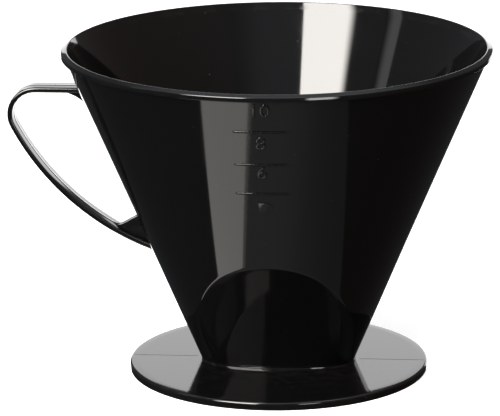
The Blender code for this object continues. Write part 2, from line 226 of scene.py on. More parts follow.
def make_piece(name, skin, material, nodes, crease=40, weld=2e-6, wears=True):
    """Turn a skin into a smooth-shaded piece that rides on the frame for its CAD nodes."""
    mesh = bpy.data.meshes.new(name)
    mesh.from_pydata(skin.points, [], skin.faces)
    bm = bmesh.new()
    bm.from_mesh(mesh)
    bmesh.ops.remove_doubles(bm, verts=bm.verts, dist=weld)
    bmesh.ops.dissolve_degenerate(bm, edges=bm.edges, dist=weld / 2)
    bmesh.ops.recalc_face_normals(bm, faces=bm.faces)
    if wears:
        store_wear(bm)
    bm.to_mesh(mesh)
    bm.free()
    mesh.shade_smooth()
    mesh.set_sharp_from_angle(angle=math.radians(crease))
    mesh.materials.append(material)
    piece = bpy.data.objects.new(name, mesh)
    bpy.context.scene.collection.objects.link(piece)
    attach(piece, "root")
    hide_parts(*nodes)


def store_wear(bm):
    """Keep how convex the surface is at each vertex: handling polishes and scuffs edges."""
    slight, strong = 0.12, 0.62
    layer = bm.verts.layers.float.new("wear")
    for vert in bm.verts:
        shared = [edge for edge in vert.link_edges if len(edge.link_faces) == 2]
        bend = sum(edge.calc_face_angle_signed(0.0) for edge in shared)
        vert[layer] = min(max(bend - slight, 0.0) / (strong - slight), 1.0)


def arc(centre, radius, start, end, steps):
    """Points of an arc in a plane; angles in degrees."""
    points = []
    for i in range(steps + 1):
        angle = math.radians(start + (end - start) * i / steps)
        points.append((centre[0] + radius * math.cos(angle), centre[1] + radius * math.sin(angle)))
    return points


def unit(x, y):
    length = math.hypot(x, y)
    return x / length, y / length


def fillet(before, corner, after, radius, steps):
    """Points of the arc that rounds a corner between two straight edges."""
    back = unit(before[0] - corner[0], before[1] - corner[1])
    ahead = unit(after[0] - corner[0], after[1] - corner[1])
    half = math.acos(back[0] * ahead[0] + back[1] * ahead[1]) / 2
    middle = unit(back[0] + ahead[0], back[1] + ahead[1])
    reach = radius / math.sin(half)
    centre = (corner[0] + middle[0] * reach, corner[1] + middle[1] * reach)
    tangent = radius / math.tan(half)
    first = (corner[0] + back[0] * tangent, corner[1] + back[1] * tangent)
    last = (corner[0] + ahead[0] * tangent, corner[1] + ahead[1] * tangent)
    start = math.atan2(first[1] - centre[1], first[0] - centre[0])
    turn = math.atan2(last[1] - centre[1], last[0] - centre[0]) - start
    turn = (turn + math.pi) % TURN - math.pi
    return arc(centre, radius, math.degrees(start), math.degrees(start + turn), steps)


def rounded(corners, radii, steps=5):
    """A closed profile with each corner rounded by its own radius; 0 keeps it sharp."""
    profile = []
    for i, (corner, radius) in enumerate(zip(corners, radii)):
        if radius:
            profile += fillet(corners[i - 1], corner, corners[(i + 1) % len(corners)], radius, steps)
        else:
            profile.append(corner)
    return profile


def circle(radius, z, count=WALL_COLUMNS, centre=(0.0, 0.0)):
    return [Vector((centre[0] + radius * math.sin(TURN * i / count),
                    centre[1] - radius * math.cos(TURN * i / count), z)) for i in range(count)]


def seam(skin, points, normals, raise_by=SEAM_RAISE):
    """A low witness line that runs along points of a surface."""
    shape = ((-1.0, -0.4), (-0.6, 0.62), (0.0, 1.0), (0.6, 0.62), (1.0, -0.4))
    rows = []
    for i, (point, normal) in enumerate(zip(points, normals)):
        along = (points[min(i + 1, len(points) - 1)] - points[max(i - 1, 0)]).normalized()
        side = normal.cross(along).normalized()
        rows.append([point + side * s * SEAM_HALF_WIDTH + normal * h * raise_by for s, h in shape])
    skin.rod(rows)


# ---------------------------------------------------------------- wall surfaces

def cone_radius(z):
    return CONE_FOOT_RADIUS + CONE_SLOPE * z


def wall_insets(inset):
    """Horizontal insets of cone and facet for an inset measured square to them."""
    return inset * math.hypot(1, CONE_SLOPE), inset * math.hypot(1, FACET_SLOPE)


def cone_and_facet(azimuth, z, inset):
    """Plan distances from the axis to the cone and to the facet's arc."""
    cone_inset, facet_inset = wall_insets(inset)
    centre = FACET_ARC - (FACET_FOOT_DEPTH + FACET_SLOPE * z - facet_inset)
    ahead = centre * abs(math.cos(azimuth))
    aside = centre * math.sin(azimuth)
    return cone_radius(z) - cone_inset, math.sqrt(FACET_ARC ** 2 - aside ** 2) - ahead


def facet_run_out(inset=0.0):
    """Height at which the facet merges into the cone on the front centre line."""
    cone_inset, facet_inset = wall_insets(inset)
    start = (CONE_FOOT_RADIUS - cone_inset) - (FACET_FOOT_DEPTH - facet_inset)
    return start / (FACET_SLOPE - CONE_SLOPE)


def wall_radius(azimuth, z, inset=0.0):
    """Plan radius of the wall's surface."""
    cone, facet = cone_and_facet(azimuth, z, inset)
    share = max(0.0, 1.0 - z / facet_run_out(inset)) ** CORNER_BLEND_POWER
    blend = CORNER_BLEND_TOP + (CORNER_BLEND_FOOT - CORNER_BLEND_TOP) * share
    overlap = max(blend - abs(cone - facet), 0.0) / blend
    return min(cone, facet) - overlap ** 2 * blend / 4


def wall_point(azimuth, z, inset=0.0):
    radius = wall_radius(azimuth, z, inset)
    return Vector((radius * math.sin(azimuth), -radius * math.cos(azimuth), z))


def wall_normal(azimuth, z):
    """Outward normal of the outer surface."""
    step = 0.1 * MM
    turn = 0.002
    across = wall_point(azimuth + turn, z) - wall_point(azimuth - turn, z)
    up = wall_point(azimuth, z + step) - wall_point(azimuth, z - step)
    return across.cross(up).normalized()


def wall_ring(z, inset=0.0):
    return [wall_point(TURN * i / WALL_COLUMNS, z, inset) for i in range(WALL_COLUMNS)]


def crest_height(azimuth, inset):
    """Height at which the facet's edge crosses one column of the wall."""
    low, high = 0.0, facet_run_out(inset)
    for _ in range(30):
        middle = (low + high) / 2
        cone, facet = cone_and_facet(azimuth, middle, inset)
        if facet > cone:
            high = middle
        else:
            low = middle
    return max(low, LOWEST_CREST)


def wall_rows(inset, bottom, top):
    """Rows of the wall's mesh, bunched along the facet's curved edge."""
    crests = [crest_height(TURN * i / WALL_COLUMNS, inset) for i in range(WALL_COLUMNS)]
    rows = []
    for r in range(ROWS_BELOW_CREST):
        share = 1 - (1 - r / ROWS_BELOW_CREST) ** ROW_BUNCHING
        rows.append([wall_point(TURN * i / WALL_COLUMNS, bottom + (crest - bottom) * share, inset)
                     for i, crest in enumerate(crests)])
    for r in range(ROWS_ABOVE_CREST + 1):
        share = (r / ROWS_ABOVE_CREST) ** ROW_BUNCHING
        rows.append([wall_point(TURN * i / WALL_COLUMNS, crest + (top - crest) * share, inset)
                     for i, crest in enumerate(crests)])
    return rows


# ---------------------------------------------------------------- pieces

def build_wall(material):
    """The thin wall, a cone above and a wedge below, with its two parting lines."""
    skin = Skin()
    top = RIM_LOW.z
    outer = wall_rows(0.0, WALL_LOW.z, top)
    inner = wall_rows(WALL, WALL_LOW.z, top)
    skin.sheet(outer + inner[::-1], tube=True)
    steps = 40
    for side in (-1, 1):
        azimuth = side * math.pi / 2
        heights = [COLLAR_HIGH.z + (top - COLLAR_HIGH.z) * i / steps for i in range(steps + 1)]
        seam(skin, [wall_point(azimuth, z) for z in heights], [wall_normal(azimuth, z) for z in heights])
    make_piece("cone_wall", skin, material, ["filter_cone"], wears=False)


def build_rim(material):
    """Lip round the mouth: a sloping brow that overhangs the wall all round."""
    skin = Skin()
    inset = wall_insets(WALL)[0]
    inside, outside = (cone_radius(RIM_LOW.z) - inset, RIM_LOW.z), (cone_radius(RIM_LOW.z), RIM_LOW.z)
    mouth = (cone_radius(RIM_HIGH.z) - inset, RIM_HIGH.z)
    brow = (RIM_HIGH.x - RIM_LEAN, RIM_HIGH.z - RIM_FALL)
    corners = [inside, mouth, (mouth[0] + RIM_FLAT, RIM_HIGH.z), brow, (RIM_HIGH.x, RIM_LOW.z), outside]
    profile = rounded(corners, [0, RIM_INNER_EDGE, RIM_TOP_EDGE, RIM_BROW_EDGE, RIM_LOWER_EDGE, 0], 8)
    profile.append((outside[0] - WALL / 2, RIM_LOW.z))
    skin.sheet([circle(radius, z) for radius, z in profile], tube=True)
    make_piece("rim_lip", skin, material, ["rim_bead"])


def build_base(material):
    """Round flange with a rolled edge, a shallow skirt and the ejector pins' witness pads."""
    skin = Skin()
    under = BASE_HIGH.z - BASE_PLATE
    radius = BASE_HIGH.x
    skirt = radius - SKIRT_WIDTH
    run = 4 * MM
    corners = [(radius - run, BASE_HIGH.z), (radius, BASE_HIGH.z), (radius, BASE_LOW.z),
               (skirt, BASE_LOW.z), (skirt, under), (skirt - run, under)]
    edge = rounded(corners, [0, BASE_EDGE, BASE_HEEL, SKIRT_EDGE, SKIRT_ROOT, 0], 7)
    rows = [wall_ring(BASE_HIGH.z, WALL / 2)]
    rows += [circle(r, z) for r, z in edge]
    rows += [wall_ring(under, WALL / 2)]
    skin.sheet(rows, tube=True)
    for side in (-1, 1):
        start = COLLAR_HIGH.x
        steps = 12
        reach = [start + (radius - BASE_EDGE - start) * i / steps for i in range(steps + 1)]
        points = [Vector((side * x, 0.0, BASE_HIGH.z)) for x in reach]
        seam(skin, points, [Vector((0, 0, 1))] * len(points), BASE_SEAM_RAISE)
    for quarter in range(4):
        angle = TURN * (quarter + 0.5) / 4
        centre = (PAD_CIRCLE * math.sin(angle), -PAD_CIRCLE * math.cos(angle))
        witness_pad(skin, centre, PAD_RADIUS, under, -PAD_RAISE)
    make_piece("base_flange", skin, material, ["base_disc"])


def witness_pad(skin, centre, radius, z, raise_by):
    """A low round pad with a softened rim; it stands up, or hangs down where raise_by is below 0."""
    chamfer = abs(raise_by)
    skin.rod([circle(radius, z - raise_by, 40, centre), circle(radius, z + raise_by * 0.5, 40, centre),
              circle(radius - chamfer, z + raise_by, 40, centre)])


def build_collar(material):
    """Small moulded step round the foot, on top of the flange; it fades into the wall above."""
    low, high = BASE_HIGH.z, COLLAR_HIGH.z
    step = low + (high - low) * COLLAR_STEP_SHARE
    hair = 0.1 * MM
    edge = 2 * hair
    shape = [(-WALL / 2, low), (COLLAR_REACH, low), (COLLAR_REACH, step - 2.5 * hair),
             (COLLAR_REACH - 0.6 * hair, step - hair), (COLLAR_REACH - edge, step),
             (COLLAR_UPPER_REACH, high - hair), (0.0, high + hair), (-WALL / 2, high + hair)]
    rows = []
    for reach, z in shape:
        row = []
        upright = reach > edge
        for i in range(WALL_COLUMNS):
            foot = wall_point(TURN * i / WALL_COLUMNS, low if upright else z)
            length = math.hypot(foot.x, foot.y)
            factor = (length + reach) / length
            row.append(Vector((foot.x * factor, foot.y * factor, z)))
        rows.append(row)
    skin = Skin()
    skin.sheet(rows, tube=True)
    make_piece("foot_step", skin, material, ["foot_collar"], crease=50)


def build_drip_floor(material):
    """Floor of the wedge with two drip holes, softened hole edges and the gate's stub."""
    top, bottom = FLOOR_HIGH.z, FLOOR_LOW.z
    bore, mouth = DRIP_HOLE_RADIUS, DRIP_HOLE_RADIUS + DRIP_HOLE_EDGE
    centres = [(side * DRIP_HOLE_OFFSET, 0.0) for side in (-1, 1)]
    count = 48
    stride = 4
    outline = {z: wall_ring(z, WALL * 0.6)[::stride] for z in (bottom, top)}
    skin = Skin()
    skin.sheet([outline[bottom], outline[top]])
    for z in (bottom, top):
        loops = [outline[z]] + [circle(mouth, z, count, centre) for centre in centres]
        triangles = geometry.tessellate_polygon(loops)
        skin.add([point for loop in loops for point in loop], triangles)
    out, down = 0.1 * MM, 0.12 * MM
    levels = ((mouth, top), (bore + out, top - down), (bore, top - DRIP_HOLE_EDGE),
              (bore, bottom + DRIP_HOLE_EDGE), (bore + out, bottom + down), (mouth, bottom))
    for centre in centres:
        skin.sheet([circle(radius, z, count, centre) for radius, z in levels])
    witness_pad(skin, (0.0, 0.0), GATE_RADIUS, top, GATE_RAISE)
    make_piece("wedge_floor", skin, material, ["drip_floor"])


def build_mug_ring(material):
    """Locating ring under the flange."""
    outside, inside = RING_HIGH.x, RING_HIGH.x - RING_WIDTH
    top = BASE_HIGH.z - BASE_PLATE + RING_BITE
    corners = [(outside, top), (outside, RING_LOW.z), (inside, RING_LOW.z), (inside, top)]
    profile = rounded(corners, [0, RING_EDGE, RING_EDGE, 0], 5)
    skin = Skin()
    skin.sheet([circle(r, z) for r, z in profile], tube=True)
    make_piece("mug_locator", skin, material, ["mug_ring"])


# ---------------------------------------------------------------- handle

def wall_side(z):
    """X of the wall's outer surface on the handle's side."""
    return -cone_radius(z)


def sweep_point(inset, angle):
    """Point of the handle's long sweep; the inset is measured into the loop."""
    bend_end = math.pi / 2 + BEND_ANGLE
    out = BEND_RADIUS - SWEEP_RADIUS
    centre = (BEND_X + out * math.cos(bend_end), HANDLE_TOP - BEND_RADIUS + out * math.sin(bend_end))
    radius = SWEEP_RADIUS - inset
    heading = bend_end + angle
    return centre[0] + radius * math.cos(heading), centre[1] + radius * math.sin(heading)


def sweep_end(inset, bite=0.0):
    """Angle at which the sweep reaches the wall, or a bite beyond its surface."""
    low, high = 0.0, math.radians(60)
    for _ in range(40):
        middle = (low + high) / 2
        x, z = sweep_point(inset, middle)
        if x < wall_side(z) + bite:
            low = middle
        else:
            high = middle
    return low


def handle_line(inset):
    """The strip's path at a depth below its outer face, from wall to wall."""
    level_steps, bend_steps, sweep_steps = 10, 40, 60
    top = HANDLE_TOP - inset
    start = wall_side(top) + BITE
    level = [(start + (BEND_X - start) * i / level_steps, top) for i in range(level_steps)]
    centre = (BEND_X, HANDLE_TOP - BEND_RADIUS)
    bend = arc(centre, BEND_RADIUS - inset, 90, 90 + math.degrees(BEND_ANGLE), bend_steps)
    end = sweep_end(inset, BITE)
    sweep = [sweep_point(inset, end * i / sweep_steps) for i in range(1, sweep_steps + 1)]
    return level + bend + sweep


def handle_profile():
    """Section of the strip as (side, depth): crowned faces, rounded sides and a parting ridge."""
    edge_at = HANDLE_HALF_WIDTH - HANDLE_EDGE
    face = [(HANDLE_RIDGE_HALF * s, HANDLE_RIDGE * (1 - s * s)) for s in (0.0, 0.4, 0.75, 1.0)]
    face += [(y, 0.0) for y in (1.0 * MM, 2.5 * MM, edge_at)]
    outer = [(y, HANDLE_INSET + HANDLE_RIDGE + HANDLE_CROWN * y - lift) for y, lift in face]
    top = outer[-1][1]
    half = HANDLE_THICKNESS / 2 - top
    steps = 9
    turns = [math.pi / 2 * i / steps for i in range(1, steps)]
    side = [(edge_at + HANDLE_EDGE * math.sin(t) ** HANDLE_FULLNESS,
             top + half * (1 - math.cos(t) ** HANDLE_FULLNESS)) for t in turns]
    upper = outer + side
    right = upper + [(HANDLE_HALF_WIDTH, HANDLE_THICKNESS / 2)]
    right += [(y, HANDLE_THICKNESS - depth) for y, depth in reversed(upper)]
    left = [(-y, depth) for y, depth in right[-2:0:-1]]
    return right + left


def build_handle(material):
    """The flat strip: level at the top, one tight bend and a long sweep back to the wall."""
    lines = {}
    columns = []
    for y, depth in handle_profile():
        key = round(depth, 8)
        if key not in lines:
            lines[key] = handle_line(depth)
        columns.append([Vector((x, y, z)) for x, z in lines[key]])
    skin = Skin()
    skin.rod([list(row) for row in zip(*columns)])
    make_piece("handle_loop", skin, material, ["handle_strip"], crease=35)


def build_web(name, node, outline, material):
    """A thin web in the handle's plane with softened edges."""
    half = WEB_WIDTH / 2
    bm = bmesh.new()
    near = [bm.verts.new((x, -half, z)) for x, z in outline]
    face = bm.faces.new(near)
    moved = bmesh.ops.extrude_face_region(bm, geom=[face])["geom"]
    far = [item for item in moved if isinstance(item, bmesh.types.BMVert)]
    bmesh.ops.translate(bm, verts=far, vec=(0, WEB_WIDTH, 0))
    flat = [edge for edge in bm.edges if abs(edge.verts[0].co.y - edge.verts[1].co.y) < half]
    bmesh.ops.bevel(bm, geom=flat, offset=WEB_EDGE, segments=4, profile=0.5, affect="EDGES")
    bm.verts.ensure_lookup_table()
    skin = Skin()
    skin.add([v.co.copy() for v in bm.verts], [[v.index for v in f.verts] for f in bm.faces])
    bm.free()
    make_piece(name, skin, material, [node], crease=35)


def upper_web_outline():
    """A fillet between the strip's level run and the wall, run a little into both."""
    top = HANDLE_TOP - HANDLE_THICKNESS
    corner = (wall_side(top), top)
    along = (corner[0] - HANDLE_THICKNESS, top)
    low = top - HANDLE_THICKNESS
    edge = fillet(along, corner, (wall_side(low), low), UPPER_WEB_FILLET, 24)
    in_wall = (edge[-1][0] + BITE, edge[-1][1])
    in_both = (corner[0] + BITE, top + WEB_BITE)
    in_strip = (edge[0][0], top + WEB_BITE)
    return edge + [in_wall, in_both, in_strip]


def lower_web_outline():
    """A wedge between the sweep's end and the wall, with a hollow round where it leaves the strip."""
    inset = HANDLE_THICKNESS
    steps = 10
    start = sweep_end(inset) - LOWER_WEB_LENGTH / (SWEEP_RADIUS - inset)
    before = start - 0.05
    peak = (wall_side(LOWER_WEB_TOP), LOWER_WEB_TOP)
    edge = fillet(sweep_point(inset, before), sweep_point(inset, start), peak, LOWER_WEB_FILLET, 16)
    tip = start - LOWER_WEB_FILLET * 0.72 / (SWEEP_RADIUS - inset)
    finish = sweep_end(inset - WEB_BITE, BITE)
    under = [sweep_point(inset - WEB_BITE, finish + (tip - finish) * i / steps) for i in range(steps + 1)]
    return edge[1:] + [peak, (peak[0] + BITE, peak[1])] + under


def build_webs(material):
    build_web("web_upper", "upper_web", upper_web_outline(), material)
    build_web("web_lower", "lower_web", lower_web_outline(), material)


# ---------------------------------------------------------------- ribs and marks

def bar_on_wall(skin, places, radius, inset, height, lean=0.0):
    """A half-sunk bar along (azimuth, height) places on the wall, with rounded ends.

    Its crest's height over the wall and its lean to one side are shares of the radius.
    """
    points = [wall_point(azimuth, z, inset) for azimuth, z in places]
    outwards = -1.0 if inset > 0 else 1.0
    count = len(points)
    angles = [TURN * k / 16 for k in range(16)]
    rows = []
    for i, ((azimuth, z), point) in enumerate(zip(places, points)):
        along = (points[min(i + 1, count - 1)] - points[max(i - 1, 0)]).normalized()
        normal = wall_normal(azimuth, z) * outwards
        side = normal.cross(along).normalized()
        end = min(i, count - 1 - i)
        swell = radius * min(1.0, math.sqrt(1 - (1 - min(end / 3 + 0.04, 1.0)) ** 2))
        rows.append([point + side * swell * (math.cos(a) + lean * math.sin(a))
                     + normal * swell * height * math.sin(a) for a in angles])
    skin.rod(rows)


def build_ribs(material):
    """Slim ribs on the inside that keep the paper off the wall."""
    steps = 44
    span = RIB_HIGH.z - RIB_LOW.z
    for number, degrees in enumerate(RIB_AZIMUTHS, start=1):
        azimuth = math.radians(degrees)
        skin = Skin()
        places = [(azimuth, RIB_LOW.z + span * i / steps) for i in range(steps + 1)]
        bar_on_wall(skin, places, RIB_RADIUS, WALL, RIB_HEIGHT)
        make_piece(f"rib_{number:02d}", skin, material, [f"flow_rib_{number:02d}"])


def build_level_lines(material):
    """Raised lines across the front."""
    steps = 60
    for label, z in MARKS.items():
        half = MARK_HALF_WIDTH / cone_radius(z)
        skin = Skin()
        places = [(half * (2 * i / steps - 1), z) for i in range(steps + 1)]
        bar_on_wall(skin, places, MARK_RADIUS, 0.0, MARK_HEIGHT, MARK_LEAN)
        make_piece("line_" + label, skin, material, ["level_mark_" + label])


def wrap_on_cone(point, z, offset):
    """Place a point of a flat mark (across, up, out) on the cone round a height."""
    height = z + point.y / math.hypot(1, CONE_SLOPE)
    azimuth = (offset + point.x) / cone_radius(height)
    return wall_point(azimuth, height) + wall_normal(azimuth, height) * point.z


def solid_from_curve(curve, name):
    """Points and faces of a curve or text object's mesh."""
    source = bpy.data.objects.new(name, curve)
    bpy.context.scene.collection.objects.link(source)
    graph = bpy.context.evaluated_depsgraph_get()
    mesh = bpy.data.meshes.new_from_object(source.evaluated_get(graph))
    points = [v.co.copy() for v in mesh.vertices]
    faces = [list(p.vertices) for p in mesh.polygons]
    bpy.data.objects.remove(source)
    bpy.data.meshes.remove(mesh)
    bpy.data.curves.remove(curve)
    return points, faces


def build_numeral(name, digit, node, z, offset, material):
    """One raised digit with softened edges, wrapped on the cone."""
    text = bpy.data.curves.new(name, "FONT")
    text.body = digit
    text.size = NUMERAL_HEIGHT / CAP_SHARE
    text.extrude = NUMERAL_RAISE - NUMERAL_EDGE
    text.bevel_depth = NUMERAL_EDGE
    text.bevel_resolution = 2
    text.offset = -NUMERAL_THINNING
    text.resolution_u = 8
    text.align_x = "CENTER"
    text.align_y = "CENTER"
    points, faces = solid_from_curve(text, name)
    skin = Skin()
    skin.add([wrap_on_cone(point, z, offset) for point in points], faces)
    make_piece(name, skin, material, [node], crease=60)


def build_numerals(material):
    """The number of cups above each level line."""
    for label, height in MARKS.items():
        for index, digit in enumerate(label):
            offset = (index - (len(label) - 1) / 2) * NUMERAL_PITCH
            ending = "" if len(label) == 1 else f"_digit_{index + 1}"
            build_numeral(f"figure_{label}{ending}", digit, f"numeral_{label}{ending}",
                          height + NUMERAL_LIFT, offset, material)


def build_symbol(material):
    """Raised outline of a cup: the unit of the numerals."""
    half = SYMBOL_HALF_HEIGHT
    centre = (SYMBOL_RIM, half * 0.2)
    ear = arc(centre, SYMBOL_EAR, -115, 95, 20)
    cup = [(SYMBOL_RIM, half), (-SYMBOL_RIM, half), (-SYMBOL_FOOT, -half), (SYMBOL_FOOT, -half)]
    hole = arc(centre, SYMBOL_EAR_HOLE, 0, 345, 23)
    curve = bpy.data.curves.new("cup", "CURVE")
    curve.dimensions = "2D"
    curve.fill_mode = "BOTH"
    curve.extrude = NUMERAL_RAISE - SYMBOL_EDGE
    curve.bevel_depth = SYMBOL_EDGE
    curve.bevel_resolution = 2
    for outline in (ear + cup, hole):
        spline = curve.splines.new("POLY")
        spline.points.add(len(outline) - 1)
        for point, (x, y) in zip(spline.points, outline):
            point.co = (x, y, 0.0, 1.0)
        spline.use_cyclic_u = True
    points, faces = solid_from_curve(curve, "cup")
    skin = Skin()
    skin.add([wrap_on_cone(point, SYMBOL_AT, 0.0) for point in points], faces)
    make_piece("cup_mark", skin, material, ["cup_symbol"], crease=60)


# ---------------------------------------------------------------- materials

class Nodes:
    """Short calls for building a node tree."""

    def __init__(self, tree):
        self.tree = tree

    def node(self, kind, settings=None, **inputs):
        node = self.tree.nodes.new(kind)
        for name, value in (settings or {}).items():
            setattr(node, name, value)
        for name, value in inputs.items():
            self.feed(node.inputs[name.replace("_", " ")], value)
        return node

    def feed(self, socket, value):
        if isinstance(value, bpy.types.NodeSocket):
            self.tree.links.new(value, socket)
        else:
            socket.default_value = value

    def maths(self, operation, first, second=0.0, clamp=False):
        node = self.tree.nodes.new("ShaderNodeMath")
        node.operation = operation
        node.use_clamp = clamp
        self.feed(node.inputs[0], first)
        self.feed(node.inputs[1], second)
        return node.outputs[0]

    def scaled(self, vector, size, turn):
        """Coordinates turned and then stretched along each axis."""
        turned = self.node("ShaderNodeMapping", Vector=vector, Rotation=turn).outputs[0]
        return self.node("ShaderNodeMapping", Vector=turned, Scale=size).outputs[0]

    def noise(self, vector, scale, detail, roughness=0.5):
        return self.node("ShaderNodeTexNoise", Vector=vector, Scale=scale, Detail=detail,
                         Roughness=roughness).outputs["Fac"]

    def band(self, value, low, high, first=0.0, last=1.0):
        """Remap a value from low..high to first..last with soft ends."""
        node = self.node("ShaderNodeMapRange", {"interpolation_type": "SMOOTHSTEP"}, Value=value)
        for name, amount in (("From Min", low), ("From Max", high), ("To Min", first), ("To Max", last)):
            node.inputs[name].default_value = amount
        return node.outputs[0]

    def blend(self, factor, first, second):
        """Mix two colours."""
        node = self.tree.nodes.new("ShaderNodeMix")
        node.data_type = "RGBA"
        self.feed(node.inputs[0], factor)
        self.feed(node.inputs[6], first)
        self.feed(node.inputs[7], second)
        return node.outputs[2]


def hairlines(n, place, turn, length, width, share):
    """Short straight scratches: slim stretched cells, of which only a share is marked."""
    stretched = n.scaled(place, (1.0 / length, 1.0 / width, 1.0 / width), turn)
    cells = n.node("ShaderNodeTexVoronoi", Vector=stretched, Scale=1.0, Randomness=1.0)
    line = n.band(cells.outputs["Distance"], 0.02, 0.09, 1.0, 0.0)
    pick = n.node("ShaderNodeSeparateColor", Color=cells.outputs["Color"]).outputs[0]
    return n.maths("MULTIPLY", line, n.band(pick, 1.0 - share, 1.01 - share))


DEEP_BLACK, SOFT_BLACK = (0.0024, 0.0024, 0.0025, 1), (0.0033, 0.0032, 0.0031, 1)
WORN_BLACK = (0.025, 0.024, 0.023, 1)
DUST_GREY = (0.30, 0.29, 0.27, 1)
RIPPLE_DEPTH, RELIEF_DEPTH = 1.2e-6, 2.2e-6

# Scratches: turn, length, width of a cell and share of the cells that are scratched
SCRATCH_SETS = (
    ((0.3, 0.2, 1.2), 9 * MM, 0.9 * MM, 0.25),
    ((0.1, 1.25, 0.2), 16 * MM, 0.8 * MM, 0.22),
    ((0.9, 0.5, -0.6), 7 * MM, 0.7 * MM, 0.2),
    ((-0.5, 0.9, 2.1), 12 * MM, 1.0 * MM, 0.2),
)


def plastic(name, roughness, scratches, dust, scuff):
    """Glossy black moulded plastic with hairline scratches, dust and scuffed edges.

    Scratches, dust and scuff are the strengths of those marks.
    """
    material = bpy.data.materials.new(name)
    material.use_nodes = True
    tree = material.node_tree
    n = Nodes(tree)
    shader = tree.nodes["Principled BSDF"]
    place = n.node("ShaderNodeTexCoord").outputs["Object"]

    cloud = n.noise(place, 38.0, 3.0, 0.6)
    fine = n.noise(place, 900.0, 2.0, 0.6)
    lines = hairlines(n, place, *SCRATCH_SETS[0])
    for scratch_set in SCRATCH_SETS[1:]:
        lines = n.maths("MAXIMUM", lines, hairlines(n, place, *scratch_set))
    lines = n.maths("MULTIPLY", lines, scratches)

    cells = n.node("ShaderNodeTexVoronoi", Vector=place, Scale=420.0, Randomness=1.0)
    speck = n.band(cells.outputs["Distance"], 0.05, 0.11, 1.0, 0.0)
    rare = n.band(n.node("ShaderNodeSeparateColor", Color=cells.outputs["Color"]).outputs[0], 0.93, 0.95)
    speck = n.maths("MULTIPLY", n.maths("MULTIPLY", speck, rare), dust)

    worn = n.node("ShaderNodeAttribute", {"attribute_name": "wear"}).outputs["Fac"]
    patches = n.band(n.noise(place, 260.0, 3.0), 0.4, 0.7)
    worn = n.maths("MULTIPLY", n.maths("MULTIPLY", worn, patches), scuff)

    colour = n.blend(cloud, DEEP_BLACK, SOFT_BLACK)
    colour = n.blend(n.maths("MULTIPLY", worn, 0.35), colour, WORN_BLACK)
    colour = n.blend(n.maths("MULTIPLY", speck, 0.5), colour, DUST_GREY)
    n.feed(shader.inputs["Base Color"], colour)

    rough = n.band(cloud, 0.3, 0.7, roughness * 0.8, roughness * 1.3)
    rough = n.maths("ADD", rough, n.maths("MULTIPLY", fine, 0.02))
    rough = n.maths("ADD", rough, n.maths("MULTIPLY", lines, 0.20))
    rough = n.maths("ADD", rough, n.maths("MULTIPLY", speck, 0.40))
    rough = n.maths("ADD", rough, n.maths("MULTIPLY", worn, 0.12), True)
    n.feed(shader.inputs["Roughness"], rough)
    shader.inputs["IOR"].default_value = 1.5

    waves = n.noise(place, 120.0, 1.0)
    ripple = n.node("ShaderNodeBump", Strength=1.0, Distance=RIPPLE_DEPTH, Height=waves)
    grooves = n.maths("MULTIPLY", lines, -1.0)
    grains = n.maths("MULTIPLY", speck, 3.0)
    relief = n.node("ShaderNodeBump", Strength=1.0, Distance=RELIEF_DEPTH,
                    Height=n.maths("ADD", grooves, grains), Normal=ripple.outputs[0])
    n.feed(shader.inputs["Normal"], relief.outputs[0])
    return material


# ---------------------------------------------------------------- stage

COOL_ROOM = (0.95, 1.0, 1.08, 1.0)
WARM_ROOM = (1.15, 0.96, 0.88, 1.0)
ROOM_BELOW, ROOM_ABOVE = 0.035, 0.12     # how bright the room is below and above eye level
CEILING_EXTRA = 0.45


def direction(azimuth, elevation):
    """Unit vector towards an azimuth and elevation in degrees."""
    a, e = math.radians(azimuth), math.radians(elevation)
    return Vector((math.sin(a) * math.cos(e), -math.cos(a) * math.cos(e), math.sin(e)))


def glow(name, colour, strength, soft_sides=None, top_share=1.0, side_share=0.0):
    """Emission that may fade towards a card's left and right sides and dim towards its top."""
    material = bpy.data.materials.new(name)
    material.use_nodes = True
    tree = material.node_tree
    tree.nodes.clear()
    n = Nodes(tree)
    across = n.node("ShaderNodeSeparateXYZ", Vector=n.node("ShaderNodeTexCoord").outputs["UV"])
    level = n.band(across.outputs["Y"], 0.5, 1.0, strength, strength * top_share)
    if soft_sides:
        left, right = soft_sides
        rise = n.band(across.outputs["X"], 0.0, max(left, 0.001), side_share, 1.0)
        fall = n.band(across.outputs["X"], 1.0 - max(right, 0.001), 1.0, 1.0, side_share)
        level = n.maths("MULTIPLY", n.maths("MULTIPLY", rise, fall), level)
    light = n.node("ShaderNodeEmission", Color=(*colour, 1.0), Strength=level)
    output = n.node("ShaderNodeOutputMaterial")
    tree.links.new(light.outputs[0], output.inputs["Surface"])
    return material


def card(name, corners, colour, strength, soft_sides=None, top_share=1.0, side_share=0.0):
    """A light panel, seen only in reflections and by what it lights.

    Its corners run round from the lower left. Soft sides are the shares of its width that fade.
    """
    mesh = bpy.data.meshes.new(name)
    mesh.from_pydata([Vector(c) for c in corners], [], [(0, 1, 2, 3)])
    uv = mesh.uv_layers.new(name="UVMap")
    for loop, place in zip(uv.data, ((0, 0), (1, 0), (1, 1), (0, 1))):
        loop.uv = place
    mesh.materials.append(glow(name, colour, strength, soft_sides, top_share, side_share))
    obj = bpy.data.objects.new(name, mesh)
    bpy.context.scene.collection.objects.link(obj)
    obj.visible_camera = False


def facing_card(name, azimuths, elevations, distance, colour, strength, soft_sides, side_share=0.0):
    """A panel that spans these azimuths and elevations, in degrees, as seen from the object."""
    target = Vector((0, 0, (CAD_LOW.z + CAD_HIGH.z) / 2))
    (left, right), (low, high) = azimuths, elevations
    angles = ((left, low), (right, low), (right, high), (left, high))
    corners = [target + direction(azimuth, elevation) * distance for azimuth, elevation in angles]
    card(name, corners, colour, strength, soft_sides, side_share=side_share)


